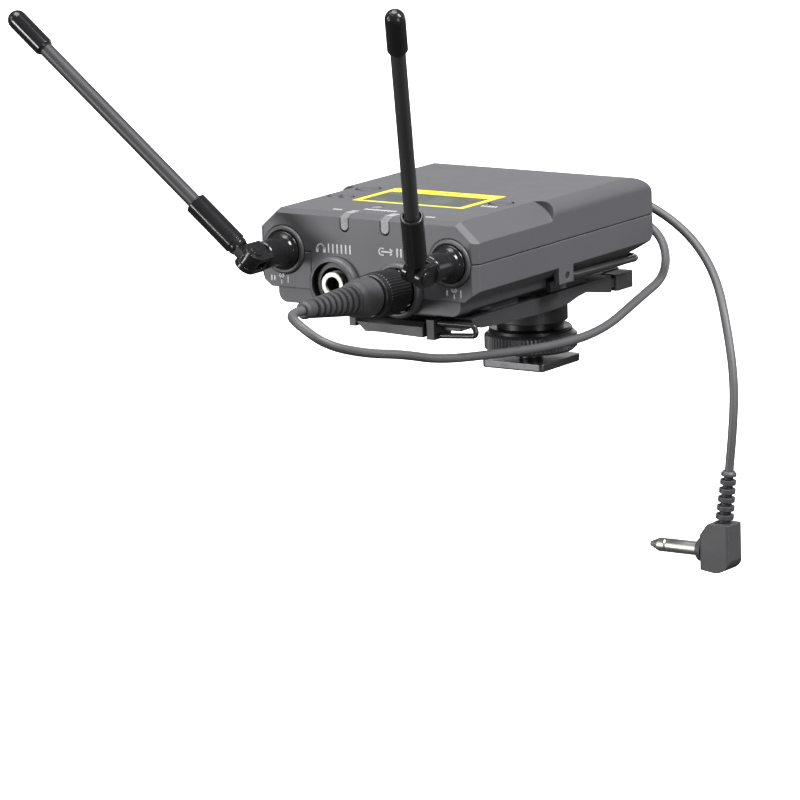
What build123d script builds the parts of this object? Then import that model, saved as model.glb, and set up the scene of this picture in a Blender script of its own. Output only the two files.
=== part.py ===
from build123d import *

# A camera-mount wireless receiver with two jointed aerials, a locking output lead and a shoe adaptor.
# Millimetres, +Z up. The origin is the middle of the shoe foot's underside. The jack panel faces -Y,
# the display faces up, and the receiver sits forward of the post that carries it.

import os
from math import cos, pi, radians, sin, tan

# ---------------------------------------------------------------- driving dimensions
BODY_WIDTH = 63.0
BODY_LENGTH = 82.0
BODY_HEIGHT = 23.0
BODY_AHEAD = 31.0          # the body's middle is this far in front of the post
BODY_BASE = 26.0           # underside of the battery bulge
WALL = 1.6
SEAM = 0.12                # half of the gap between the two shells
FIT = 0.15                 # clearance around fixed inserts

HALF = BODY_WIDTH / 2
FRONT = -BODY_AHEAD - BODY_LENGTH / 2
REAR = FRONT + BODY_LENGTH
TOP = BODY_BASE + BODY_HEIGHT
SPLIT = BODY_BASE + 13.05  # height of the parting line
FLOOR = BODY_BASE + 3.8    # underside of the body beside the bulge

FRONT_BEVEL = 1.5
LIP_DROP = 0.9             # bevel between the jack panel and the top
LIP_RUN = 1.9
REAR_CORNER = 2.4
REAR_TOP_ROUND = 9.3
REAR_LOW_ROUND = 9.6
TOP_EDGE_ROUND = 3.4
LOW_EDGE_IN = 3.6          # the lower long edges are slanted off, this far in
LOW_EDGE_UP = 2.7          # and this far up
LOW_EDGE_SOFT = 1.5

BULGE_HALF = 26.4
BULGE_FRONT = FRONT + 0.6
BULGE_BACK = REAR - 5.0
BULGE_WALL = 1.4

SCOOP_ACROSS = 5.4         # the finger scoop takes this much off the top
SCOOP_DOWN = 4.7           # and this much off the side
SCOOP_RADIUS = 4.6
SCOOP_END = FRONT + 35.6

TONGUE_HALF = 16.1         # the jacks sit in a tongue of the top shell
JACK_X = 9.2
JACK_Z = BODY_BASE + 5.6
JACK_RING = 6.9            # the raised collar round each jack, where it meets the panel
JACK_RIM = 6.05
JACK_RISE = 1.9
JACK_SEAT = 4.6            # the part of it that sits inside the panel
JACK_BORE = 1.8
JACK_NOSE = 1.4            # the metal barrel stands this far out of the panel
AERIAL_X = 24.0
AERIAL_RING = 5.9
AERIAL_MOUTH = 4.75

SCREW_X = 21.0
SCREW_YS = (FRONT + 9.0, REAR - 9.0)

# display and controls, measured from the jack panel
LCD_HALF = 16.2
LCD_FRONT = FRONT + 17.9
LCD_BACK = FRONT + 37.9
LCD_VIEW_HALF = 14.4
LCD_VIEW_FRONT = LCD_FRONT + 1.6
LCD_VIEW_BACK = LCD_BACK - 5.2
LCD_GAP = 0.25             # dark line round the display frame
BUTTONS = {
    "button_minus": (-23.35, FRONT + 21.5, 1.55),
    "button_plus": (-19.85, FRONT + 21.5, 1.55),
    "button_power": (-21.7, FRONT + 33.6, 2.8),
    "button_set": (20.5, FRONT + 28.5, 2.8),
}
BOARD_Z = BODY_BASE + 17.2
BOARD_THICK = 1.0
BOARD_TOP = BOARD_Z + BOARD_THICK

# batteries, their tray and the door under them
CELL_RADIUS = 7.25
CELL_LENGTH = 50.5
CELL_Z = BODY_BASE + 9.0
CELL_X = 7.5
TRAY_HALF = 16.2
TRAY_FRONT = FRONT + 13.4
TRAY_BACK = REAR - 15.4
DOOR_HALF = 16.0
DOOR_AXIS_Y = FRONT + 12.7
DOOR_AXIS_Z = BODY_BASE + 1.4
DOOR_BACK = -10.4
DOOR_THICK = 1.5

# aerials: angle of the swivel away from upright, and of the elbow away from straight out
AERIALS = {"a": (1, 20.7, 58.8), "b": (-1, 48.8, 86.5)}
PIVOT_OUT = 14.3
AERIAL_LENGTH = 86.7
CAP_LENGTH = 12.7
SLEEVE_END = 19.7
SLEEVE_RADIUS = 2.78
ROD_RADIUS = 1.8
CAP_RADIUS = 2.43

# wire clip, hinged in two tabs that hang from the body's side walls
CLIP_Y = -31.7
CLIP_Z = BODY_BASE + 4.1
CLIP_WIRE = 0.85
CLIP_HALF = 28.9
CLIP_BACK = REAR - 3.3
CLIP_ARM_Z = BODY_BASE + 3.0
CLIP_BACK_Z = BODY_BASE + 2.3
CLIP_TAB_FRONT = -35.5
CLIP_TAB_BACK = -29.0
CLIP_TAB_LOW = BODY_BASE + 2.3

# adaptor
PLATE_TOP = 24.5
PLATE_HALF = 25.0
PLATE_THICK = 2.1
PLATE_INNER = 18.6
WINDOW_HALF = 17.2
WINDOW_FRONT = FRONT + 10.6
WINDOW_BACK = -10.0
POST_RADIUS = 9.5
POST_BOTTOM = 11.4
STUD_RADIUS = 3.0
WHEEL_RADIUS = 11.7
WHEEL_BOTTOM = 3.9
FOOT_SIDE = 18.2
FOOT_THICK = 1.95
LATCH_Y = FRONT + 5.6
LATCH_Z = BODY_BASE - 3.3

# output plug, all distances out from the jack panel; its outer end rides a little high
PLUG_TILT = 2.6
COLLAR_END = 12.9
SLEEVE_BACK = 20.6
RELIEF_END = 40.8
CORD_RADIUS = 1.12
RIB_DEPTH = 0.8

# plug for the camera's microphone socket, hanging below the foot
MIC_X = 59.0
MIC_Y = -6.0
MIC_TOP = -34.0
MIC_HEIGHT = 12.2
MIC_RELIEF_TIP = (60.7, MIC_Y, -20.7)


def plug_point(distance):
    """A point on the output plug's axis, this far out from the jack panel."""
    lift = radians(PLUG_TILT)
    return (JACK_X, FRONT - distance * cos(lift), JACK_Z + distance * sin(lift))


# the lead's route, from the output plug's strain relief to the microphone plug's
CORD_ROUTE = [
    plug_point(RELIEF_END),
    plug_point(RELIEF_END + 5.5),
    (15.2, -123.6, 32.6),
    (22.6, -122.8, 28.0),
    (26.5, -112.0, 24.5),
    (24.5, -94.0, 21.0),
    (22.0, -74.5, 16.0),
    (24.5, -54.0, 14.0),
    (29.0, -35.5, 13.0),
    (32.5, -18.0, 14.0),
    (33.0, -1.0, 19.5),
    (31.0, 15.5, 22.5),
    (23.5, 26.5, 30.0),
    (12.5, 29.0, 34.5),
    (6.0, 23.5, 38.5),
    (9.5, 15.5, 43.0),
    (19.0, 14.5, 42.5),
    (30.0, 15.0, 38.5),
    (41.0, 12.5, 32.5),
    (50.5, 7.0, 24.5),
    (57.0, 0.5, 14.0),
    (61.5, -4.0, 2.0),
    (62.13, -6.0, -9.5),
    MIC_RELIEF_TIP,
]


# ---------------------------------------------------------------- shared shapes
def outward(y):
    """A plane at this y whose normal points out of the jack panel."""
    return Plane(origin=(0, y, 0), x_dir=(1, 0, 0), z_dir=(0, -1, 0))


def box(x0, x1, y0, y1, z0, z1):
    """A plain block between two corners."""
    with BuildPart() as block:
        with BuildSketch(Plane.XY.offset(z0)):
            with Locations(((x0 + x1) / 2, (y0 + y1) / 2)):
                Rectangle(x1 - x0, y1 - y0)
        extrude(amount=z1 - z0)
    return block.part


def turned(profile, origin, direction):
    """A solid turned about a line; profile lists (radius, distance along the line)."""
    along = Vector(*direction).normalized()
    helper = Vector(0, 0, 1) if abs(along.Z) < 0.9 else Vector(1, 0, 0)
    across = along.cross(helper).normalized()
    sheet = Plane(origin=origin, x_dir=across, z_dir=across.cross(along))
    with BuildPart() as solid:
        with BuildSketch(sheet):
            with BuildLine():
                Polyline(*profile, close=True)
            make_face()
        revolve(axis=Axis(origin, tuple(along)))
    return solid.part


def rod(radius, start, end):
    """A plain round bar from one point to another."""
    path = Vector(*end) - Vector(*start)
    return turned([(0, 0), (radius, 0), (radius, path.length), (0, path.length)], start, tuple(path))


def save(part, name):
    """Label a finished piece and write its file."""
    part.label = name
    export_step(part, f"parts/{name}.step")


def envelope(inset, low, high):
    """The body's outer form, drawn in by inset, between two heights."""
    with BuildPart() as form:
        with BuildSketch(Plane.XY.offset(low)) as plan:
            with Locations((0, (FRONT + REAR) / 2)):
                Rectangle(BODY_WIDTH - 2 * inset, BODY_LENGTH - 2 * inset)
            chamfer(plan.vertices().group_by(Axis.Y)[0], FRONT_BEVEL)
            fillet(plan.vertices().group_by(Axis.Y)[-1], REAR_CORNER - inset)
        extrude(amount=high - low)
        with BuildSketch(Plane.YZ) as side:
            with BuildLine():
                Polyline(
                    (FRONT + inset, FLOOR + inset),
                    (FRONT + inset, TOP - inset - LIP_DROP),
                    (FRONT + inset + LIP_RUN, TOP - inset),
                    (REAR - inset, TOP - inset),
                    (REAR - inset, FLOOR + inset),
                    close=True,
                )
            make_face()
            fillet(side.vertices().group_by(Axis.X)[-1].sort_by(Axis.Y)[-1], REAR_TOP_ROUND - inset)
            fillet(side.vertices().group_by(Axis.X)[-1].sort_by(Axis.Y)[0], REAR_LOW_ROUND - inset)
        extrude(amount=HALF + 1, both=True, mode=Mode.INTERSECT)
        # the slanted lower edges keep the wall's thickness when the form is drawn in
        slant = (LOW_EDGE_IN ** 2 + LOW_EDGE_UP ** 2) ** 0.5
        outer_z = FLOOR + LOW_EDGE_UP + inset * (slant - LOW_EDGE_UP) / LOW_EDGE_IN
        inner_x = HALF - LOW_EDGE_IN - inset * (slant - LOW_EDGE_IN) / LOW_EDGE_UP
        with BuildSketch(Plane.XZ) as face:
            with BuildLine():
                Polyline(
                    (HALF - inset, TOP - inset), (HALF - inset, outer_z), (inner_x, FLOOR + inset),
                    (-inner_x, FLOOR + inset), (inset - HALF, outer_z), (inset - HALF, TOP - inset),
                    close=True,
                )
            make_face()
            rows = face.vertices().group_by(Axis.Y)
            fillet(rows[-1], TOP_EDGE_ROUND - inset)
            fillet(rows[1], max(LOW_EDGE_SOFT - inset, 0.3))
            fillet(rows[0], LOW_EDGE_SOFT)
        extrude(amount=BODY_LENGTH + BODY_AHEAD, both=True, mode=Mode.INTERSECT)
    return form.part


def bulge(inset, top):
    """The battery bulge under the body, from its lip at the jack panel to its back."""
    with BuildPart() as form:
        with BuildSketch(outward(BULGE_BACK - inset)) as face:
            with Locations((0, (BODY_BASE + inset + top) / 2)):
                Rectangle(2 * (BULGE_HALF - inset), top - BODY_BASE - inset)
            low = face.vertices().group_by(Axis.Y)[0]
            fillet(low, 2.5 - inset)
        extrude(amount=BULGE_BACK - BULGE_FRONT - 2 * inset)
    return form.part


def scoop_plane(side, depth):
    """The slanted plane of a finger scoop, pushed in by depth."""
    middle = (side * (HALF - SCOOP_ACROSS / 2), 0, TOP - SCOOP_DOWN / 2)
    normal = (side * SCOOP_DOWN, 0, SCOOP_ACROSS)
    return Plane(origin=middle, x_dir=(0, 1, 0), z_dir=normal).offset(-depth)


def scoop_bevel(side):
    """The wedge that carries the lip's bevel down a finger scoop's front edge."""
    middle = (side * (HALF - SCOOP_ACROSS / 2), 0, TOP - SCOOP_DOWN / 2)
    along = Plane(origin=middle, x_dir=(0, 1, 0), z_dir=(SCOOP_ACROSS, 0, -side * SCOOP_DOWN))
    with BuildPart() as wedge:
        with BuildSketch(along):
            with BuildLine():
                Polyline(
                    (FRONT - 1, -LIP_DROP - LIP_DROP / LIP_RUN), (FRONT + LIP_RUN, 0),
                    (FRONT + LIP_RUN, 3), (FRONT - 1, 3), close=True,
                )
            make_face()
        extrude(amount=6, both=True)
    return wedge.part


def cavity(low, high):
    """The hollow inside the body, kept clear of the finger scoops."""
    with BuildPart() as form:
        add(envelope(WALL, low, high))
        for side in (1, -1):
            with BuildSketch(scoop_plane(side, WALL)):
                with Locations(((FRONT + SCOOP_END) / 2, 0)):
                    Rectangle(SCOOP_END - FRONT + 4, 16)
            extrude(amount=8, mode=Mode.SUBTRACT)
    return form.part


def panel_holes(x, z, radius, depth):
    """A round cut into the jack panel."""
    return rod(radius, (x, FRONT - 2, z), (x, FRONT + depth, z))


# ---------------------------------------------------------------- the two shells
def shell_cuts():
    """Holes that both shells share: the aerial sockets and the jack rings."""
    cuts = [panel_holes(side * AERIAL_X, SPLIT, AERIAL_RING + FIT, 6.2) for side in (1, -1)]
    cuts += [panel_holes(side * JACK_X, JACK_Z, JACK_SEAT + 0.1, 6.2) for side in (1, -1)]
    return cuts


def light_pipe_slots(gap):
    """The two light pipes that wrap over the panel's top edge."""
    pipes = []
    for middle, width in ((-6.1, 2.1), (5.6, 2.3)):
        with BuildPart() as pipe:
            with BuildSketch(Plane.XZ.offset(-FRONT - 5.5)):
                with Locations((middle, TOP - 1.0)):
                    Rectangle(width + 2 * gap, 4.0 + 2 * gap)
                with Locations((middle, TOP - 3.0 - gap)):
                    Circle(width / 2 + gap)
            extrude(amount=6)
            add(envelope(0, BODY_BASE, TOP), mode=Mode.INTERSECT)
            keep_out = box(middle - 3, middle + 3, FRONT + 1.9, FRONT + 8, TOP - 8, TOP - 1.8)
            add(keep_out, mode=Mode.SUBTRACT)
        pipes.append(pipe.part)
    return pipes


def make_top_shell():
    with BuildPart() as top_shell:
        add(envelope(0, FLOOR + SEAM, TOP))
        add(cavity(FLOOR - 1, TOP), mode=Mode.SUBTRACT)
        with BuildSketch(Plane.XY.offset(FLOOR)):
            with Locations((0, (FRONT + REAR) / 2)):
                Rectangle(BODY_WIDTH + 2, BODY_LENGTH + 2)
            with Locations((0, FRONT)):
                Rectangle(2 * TONGUE_HALF, 2 * (WALL + 0.4), mode=Mode.SUBTRACT)
        extrude(amount=SPLIT + SEAM - FLOOR, mode=Mode.SUBTRACT)
        for side in (1, -1):
            with BuildSketch(scoop_plane(side, 0)):
                start = FRONT - 6
                end = SCOOP_END - SCOOP_RADIUS
                with Locations(((start + end) / 2, 0)):
                    Rectangle(end - start, 2 * SCOOP_RADIUS)
                with Locations((end, 0)):
                    Circle(SCOOP_RADIUS)
            extrude(amount=8, mode=Mode.SUBTRACT)
            add(scoop_bevel(side), mode=Mode.SUBTRACT)
        with BuildSketch(Plane.XY.offset(SPLIT + SEAM)):
            with Locations(*[(side * SCREW_X, y) for side in (1, -1) for y in SCREW_YS]):
                Circle(2.3)
        extrude(amount=TOP - WALL - SPLIT)
        for cut in shell_cuts() + light_pipe_slots(0.2):
            add(cut, mode=Mode.SUBTRACT)
        with BuildSketch(Plane.XY.offset(TOP + 1)):
            with Locations((0, (LCD_FRONT + LCD_BACK) / 2)):
                Rectangle(2 * (LCD_HALF + LCD_GAP), LCD_BACK - LCD_FRONT + 2 * LCD_GAP)
            for x, y, radius in BUTTONS.values():
                with Locations((x, y)):
                    Circle(radius + 0.45)
            with Locations((-4.65, FRONT + 12.1)):
                Circle(1.7)
        extrude(amount=-WALL - 2, mode=Mode.SUBTRACT)
        with BuildSketch(Plane.XY.offset(SPLIT)):
            with Locations(*[(side * SCREW_X, y) for side in (1, -1) for y in SCREW_YS]):
                Circle(0.9)
        extrude(amount=6.5, mode=Mode.SUBTRACT)
    save(top_shell.part, "top_shell")


def make_bottom_shell():
    with BuildPart() as bottom_shell:
        add(envelope(0, FLOOR, SPLIT - SEAM))
        add(bulge(0, FLOOR + 2.2))
        add(cavity(FLOOR, SPLIT), mode=Mode.SUBTRACT)
        add(bulge(BULGE_WALL, FLOOR + WALL + 1), mode=Mode.SUBTRACT)
        tongue_slot = box(
            -TONGUE_HALF - FIT, TONGUE_HALF + FIT, FRONT - 1, FRONT + WALL + 0.4, FLOOR, SPLIT
        )
        add(tongue_slot, mode=Mode.SUBTRACT)
        with BuildSketch(Plane.XY.offset(BODY_BASE)):
            with Locations(*[(side * SCREW_X, y) for side in (1, -1) for y in SCREW_YS]):
                Circle(2.6)
        extrude(amount=SPLIT - SEAM - BODY_BASE)
        for side in (1, -1):
            # ears that hold the ends of the door's hinge pin
            ear = sorted((side * (DOOR_HALF + 0.4), side * (DOOR_HALF + 2.4)))
            add(box(*ear, DOOR_AXIS_Y - 1.8, DOOR_AXIS_Y + 1.8, BODY_BASE, DOOR_AXIS_Z + 1.8))
            # tabs for the wire clip, flush with the side walls
            tab = sorted((side * (HALF - 1.5), side * HALF))
            add(box(*tab, CLIP_TAB_FRONT, CLIP_TAB_BACK, CLIP_TAB_LOW, FLOOR + LOW_EDGE_UP + 1.5))
            # the wire's bend beside each tab runs in a shallow pocket
            pocket = sorted((side * (CLIP_HALF - 1.3), side * (HALF - 1.5)))
            add(box(*pocket, CLIP_Y - 1.7, CLIP_TAB_BACK + 6, FLOOR - 1, CLIP_Z + 1.25), mode=Mode.SUBTRACT)
        for cut in shell_cuts():
            add(cut, mode=Mode.SUBTRACT)
        door_gap = box(
            -DOOR_HALF - 0.25, DOOR_HALF + 0.25,
            DOOR_AXIS_Y - 1.7, DOOR_BACK + 0.3, BODY_BASE - 1, BODY_BASE + BULGE_WALL + 0.1,
        )
        add(door_gap, mode=Mode.SUBTRACT)
        add(
            rod(0.65, (-DOOR_HALF - 3, DOOR_AXIS_Y, DOOR_AXIS_Z), (DOOR_HALF + 3, DOOR_AXIS_Y, DOOR_AXIS_Z)),
            mode=Mode.SUBTRACT,
        )
        for side in (1, -1):
            hole_end = (side * (HALF + 1), CLIP_Y, CLIP_Z)
            add(rod(CLIP_WIRE + 0.08, (side * (HALF - 1.6), CLIP_Y, CLIP_Z), hole_end), mode=Mode.SUBTRACT)
            slot = sorted((side * (BULGE_HALF - 3), side * (BULGE_HALF + 1)))
            add(box(*slot, -33.3, -26.4, BODY_BASE + 1.4, BODY_BASE + 2.5), mode=Mode.SUBTRACT)
        with BuildSketch(Plane.XY.offset(BODY_BASE)) as heads:
            with Locations(*[(side * SCREW_X, y) for side in (1, -1) for y in SCREW_YS]):
                Circle(1.9)
        extrude(amount=1.8, mode=Mode.SUBTRACT)
        with BuildSketch(Plane.XY.offset(BODY_BASE)):
            with Locations(*[(side * SCREW_X, y) for side in (1, -1) for y in SCREW_YS]):
                Circle(0.95)
        extrude(amount=SPLIT - BODY_BASE, mode=Mode.SUBTRACT)
    save(bottom_shell.part, "bottom_shell")


def make_shell_screws():
    with BuildPart() as shell_screws:
        for side in (1, -1):
            for y in SCREW_YS:
                profile = [(0, 0.2), (1.75, 0.2), (1.75, 1.8), (0.85, 1.8), (0.85, 19.0), (0, 19.0)]
                add(turned(profile, (side * SCREW_X, y, BODY_BASE), (0, 0, 1)))
                add(box(side * SCREW_X - 1.1, side * SCREW_X + 1.1, y - 0.2, y + 0.2,
                        BODY_BASE, BODY_BASE + 0.8), mode=Mode.SUBTRACT)
                add(box(side * SCREW_X - 0.2, side * SCREW_X + 0.2, y - 1.1, y + 1.1,
                        BODY_BASE, BODY_BASE + 0.8), mode=Mode.SUBTRACT)
    save(shell_screws.part, "shell_screws")


# ---------------------------------------------------------------- display, controls and board
def make_display():
    with BuildPart() as lcd_frame:
        with BuildSketch(Plane.XY.offset(TOP - 1.9)) as band:
            with Locations((0, (LCD_FRONT + LCD_BACK) / 2)):
                Rectangle(2 * LCD_HALF, LCD_BACK - LCD_FRONT)
            fillet(band.vertices(), 0.6)
            with Locations((0, (LCD_VIEW_FRONT + LCD_VIEW_BACK) / 2)):
                Rectangle(2 * LCD_VIEW_HALF, LCD_VIEW_BACK - LCD_VIEW_FRONT, mode=Mode.SUBTRACT)
        extrude(amount=1.82)
    save(lcd_frame.part, "lcd_frame")

    with BuildPart() as lcd_window:
        with BuildSketch(Plane.XY.offset(TOP - 2.0)):
            with Locations((0, (LCD_VIEW_FRONT + LCD_VIEW_BACK) / 2)):
                Rectangle(2 * LCD_VIEW_HALF - 0.1, LCD_VIEW_BACK - LCD_VIEW_FRONT - 0.1)
        extrude(amount=1.87)
    save(lcd_window.part, "lcd_window")

    with BuildPart() as lcd_module:
        with BuildSketch(Plane.XY.offset(BOARD_TOP)):
            with Locations((0, (LCD_FRONT + LCD_BACK) / 2)):
                Rectangle(2 * LCD_HALF - 1.2, LCD_BACK - LCD_FRONT - 1.0)
        extrude(amount=TOP - 2.0 - BOARD_TOP)
    save(lcd_module.part, "lcd_module")


def make_controls():
    for name, (x, y, radius) in BUTTONS.items():
        with BuildPart() as button:
            foot_z = TOP - 3.0
            profile = [
                (0, 0), (radius + 0.6, 0), (radius + 0.6, 0.9), (radius, 0.9),
                (radius, 2.95), (radius - 0.3, 3.2), (0, 3.3),
            ]
            add(turned(profile, (x, y, foot_z), (0, 0, 1)))
            if radius < 2:
                # the flanges of the neighbouring pair are trimmed where they would meet
                middle = (BUTTONS["button_minus"][0] + BUTTONS["button_plus"][0]) / 2
                toward = 1 if x < middle else -1
                trim = box(*sorted((middle - toward * 0.2, middle + toward * 2)), y - 3, y + 3,
                           foot_z - 1, foot_z + 2)
                add(trim, mode=Mode.SUBTRACT)
        save(button.part, name)

    with BuildPart() as button_mat:
        with BuildSketch(Plane.XY.offset(BOARD_TOP)):
            with Locations((-21.6, FRONT + 27.5)):
                Rectangle(7.6, 20)
            with Locations((20.5, FRONT + 28.5)):
                Rectangle(7.0, 7.6)
        extrude(amount=0.7)
        for x, y, radius in BUTTONS.values():
            with BuildSketch(Plane.XY.offset(BOARD_TOP + 0.6)):
                with Locations((x, y)):
                    Circle(radius * 0.7)
            extrude(amount=0.5, taper=20)
    save(button_mat.part, "button_mat")

    save(rod(1.6, (-4.65, FRONT + 12.1, TOP - WALL - 0.4), (-4.65, FRONT + 12.1, TOP - 0.1)), "infrared_window")

    with BuildPart() as light_pipes:
        for pipe in light_pipe_slots(0):
            add(pipe)
    save(light_pipes.part, "light_pipes")


def make_board():
    with BuildPart() as main_board:
        with BuildSketch(Plane.XY.offset(BOARD_Z)):
            with Locations((0, (FRONT + REAR) / 2 + 0.7)):
                Rectangle(2 * 27.0, 69.0)
            with Locations(*[(side * SCREW_X, y) for side in (1, -1) for y in SCREW_YS]):
                Circle(2.7, mode=Mode.SUBTRACT)
        extrude(amount=BOARD_THICK)
    save(main_board.part, "main_board")

    with BuildPart() as rf_shield:
        add(box(-14, 14, -30, -8, BOARD_TOP, BOARD_TOP + 2.1))
        add(box(-13.7, 13.7, -29.7, -8.3, BOARD_TOP, BOARD_TOP + 1.8), mode=Mode.SUBTRACT)
    save(rf_shield.part, "rf_shield")

    with BuildPart() as board_chips:
        add(box(17.0, 24.0, -30, -23, BOARD_TOP, BOARD_TOP + 1.0))
        add(box(-24.0, -18.0, -26, -17, BOARD_TOP, BOARD_TOP + 1.2))
        add(box(17.5, 22.5, -16, -11, BOARD_TOP, BOARD_TOP + 0.9))
        add(box(-24.5, -19.5, -12, -7, BOARD_TOP, BOARD_TOP + 1.6))
    save(board_chips.part, "board_chips")


# ---------------------------------------------------------------- jacks and aerial sockets
def make_jacks():
    with BuildPart() as jack_rings:
        for side in (1, -1):
            profile = [
                (JACK_RING, 0.05), (JACK_RING - 0.05, 0.9), (JACK_RING - 0.25, 1.45), (JACK_RING - 0.55, 1.8),
                (JACK_RIM, JACK_RISE), (JACK_RIM - 0.3, JACK_RISE), (JACK_RIM - 0.5, JACK_RISE - 0.2),
                (JACK_RIM - 0.5, 0.35), (4.1, 0.35), (4.1, -3.4), (3.05, -3.4), (3.05, -5.5),
                (JACK_SEAT - 0.3, -5.5), (JACK_SEAT, -5.0), (JACK_SEAT, 0.05),
            ]
            add(turned(profile, (side * JACK_X, FRONT, JACK_Z), (0, -1, 0)))
    save(jack_rings.part, "jack_rings")

    for side, name in ((-1, "phones_jack"), (1, "output_jack")):
        centre = (side * JACK_X, FRONT, JACK_Z)
        thread = [(JACK_BORE + 0.2, JACK_NOSE), (3.1, JACK_NOSE), (3.25, JACK_NOSE - 0.15)]
        for turn in range(3):
            start = JACK_NOSE - 0.45 - 1.1 * turn
            thread += [(3.25, start), (2.65, start - 0.2), (2.65, start - 0.65), (3.25, start - 0.85)]
        thread += [(3.0, -2.6), (3.0, -5.6), (JACK_BORE, -5.6), (JACK_BORE, JACK_NOSE - 0.2)]
        save(turned(thread, centre, (0, -1, 0)), name + "_barrel")
        with BuildPart() as jack:
            add(box(side * JACK_X - 4.6, side * JACK_X + 4.6, FRONT + 5.6, FRONT + 13.1,
                    JACK_Z - 2.4, JACK_Z + 4.6))
            add(rod(JACK_BORE, (side * JACK_X, FRONT + 5, JACK_Z), (side * JACK_X, FRONT + 12.9, JACK_Z)),
                mode=Mode.SUBTRACT)
        save(jack.part, name)

    with BuildPart() as aerial_sockets:
        for side in (1, -1):
            profile = [
                (AERIAL_RING, 0.25), (AERIAL_RING - 0.15, 0.55), (AERIAL_RING - 0.45, 0.75),
                (AERIAL_MOUTH + 0.35, 0.75), (AERIAL_MOUTH + 0.1, 0.6), (AERIAL_MOUTH, 0.3),
                (AERIAL_MOUTH, -0.9), (2.55, -0.9), (2.55, -5.8), (AERIAL_RING, -5.8),
            ]
            add(turned(profile, (side * AERIAL_X, FRONT, SPLIT), (0, -1, 0)))
    save(aerial_sockets.part, "aerial_sockets")


# ---------------------------------------------------------------- aerials
def make_aerial(letter, side, swivel, elbow):
    """One aerial: base and fork, pivot pin, sleeve with its tongue, rod and end cap."""
    lean = Vector(side * sin(radians(swivel)), 0, cos(radians(swivel)))
    arm = Vector(0, -cos(radians(elbow)), 0) + lean * sin(radians(elbow))
    hinge = Vector(cos(radians(swivel)), 0, -side * sin(radians(swivel)))
    socket = Vector(side * AERIAL_X, FRONT, SPLIT)
    pivot = socket + Vector(0, -PIVOT_OUT, 0)
    cheek = 2.8
    fork_plane = Plane(origin=pivot, x_dir=(0, -1, 0), z_dir=hinge)
    arm_plane = Plane(origin=pivot, x_dir=hinge, z_dir=arm)

    with BuildPart() as base:
        profile = [
            (0, -5.4), (2.4, -5.4), (2.4, -0.75), (4.66, -0.75), (4.66, 0.75), (4.55, 1.0), (4.2, 1.25),
            (3.8, 1.6), (3.55, 2.1), (3.45, 2.7), (3.45, 9.4), (3.2, 9.8), (2.6, 9.8), (2.6, 10.3),
            (0, 10.3),
        ]
        add(turned(profile, tuple(socket), (0, -1, 0)))
        with BuildSketch(fork_plane):
            with Locations((-2.3, 0)):
                Rectangle(4.6, 2 * cheek)
            Circle(cheek)
        extrude(amount=2.6, both=True)
        with BuildSketch(fork_plane):
            with Locations((0.5, 0)):
                Rectangle(7.0, 8)
        extrude(amount=1.25, both=True, mode=Mode.SUBTRACT)
        with BuildSketch(fork_plane):
            Circle(0.82)
        extrude(amount=3, both=True, mode=Mode.SUBTRACT)
    save(base.part, f"aerial_{letter}_base")

    pin_profile = [(0, -2.6), (0.8, -2.6), (0.8, 2.6), (1.6, 2.6), (1.45, 2.95), (0, 3.1)]
    save(turned(pin_profile, tuple(pivot), tuple(hinge)), f"aerial_{letter}_pin")

    with BuildPart() as sleeve:
        with BuildSketch(Plane(origin=pivot, x_dir=arm, z_dir=hinge)):
            Circle(2.55)
            with Locations((2.2, 0)):
                Rectangle(4.4, 4.4)
        extrude(amount=1.15, both=True)
        outline = [
            (0, 3.7), (2.2, 3.7), (2.5, 4.4), (2.5, 5.2), (SLEEVE_RADIUS, 5.5),
            (SLEEVE_RADIUS, SLEEVE_END - 0.2), (SLEEVE_RADIUS - 0.2, SLEEVE_END),
            (ROD_RADIUS + 0.45, SLEEVE_END), (ROD_RADIUS + 0.35, SLEEVE_END - 1.6),
            (ROD_RADIUS + 0.02, SLEEVE_END - 1.6), (ROD_RADIUS + 0.02, 8), (0, 8),
        ]
        add(turned(outline, tuple(pivot), tuple(arm)))
        with BuildSketch(Plane(origin=pivot, x_dir=arm, z_dir=hinge)):
            Circle(0.84)
        extrude(amount=3, both=True, mode=Mode.SUBTRACT)
    save(sleeve.part, f"aerial_{letter}_sleeve")

    with BuildPart() as whip:
        with BuildSketch(arm_plane.offset(8.1)):
            Circle(ROD_RADIUS)
        extrude(amount=AERIAL_LENGTH - 6 - 8.1)
    save(whip.part, f"aerial_{letter}_rod")

    with BuildPart() as cap:
        low = AERIAL_LENGTH - CAP_LENGTH
        steps = 6
        dome = [
            (CAP_RADIUS * cos(radians(90 * k / steps)),
             AERIAL_LENGTH - CAP_RADIUS + CAP_RADIUS * sin(radians(90 * k / steps)))
            for k in range(1, steps)
        ]
        outline = [(ROD_RADIUS + 0.02, low), (CAP_RADIUS - 0.4, low), (CAP_RADIUS, low + 0.7)]
        outline += [(CAP_RADIUS, AERIAL_LENGTH - CAP_RADIUS)] + dome
        outline += [(0, AERIAL_LENGTH), (0, AERIAL_LENGTH - 5.9), (ROD_RADIUS + 0.02, AERIAL_LENGTH - 5.9)]
        add(turned(outline, tuple(pivot), tuple(arm)))
    save(cap.part, f"aerial_{letter}_cap")


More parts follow.
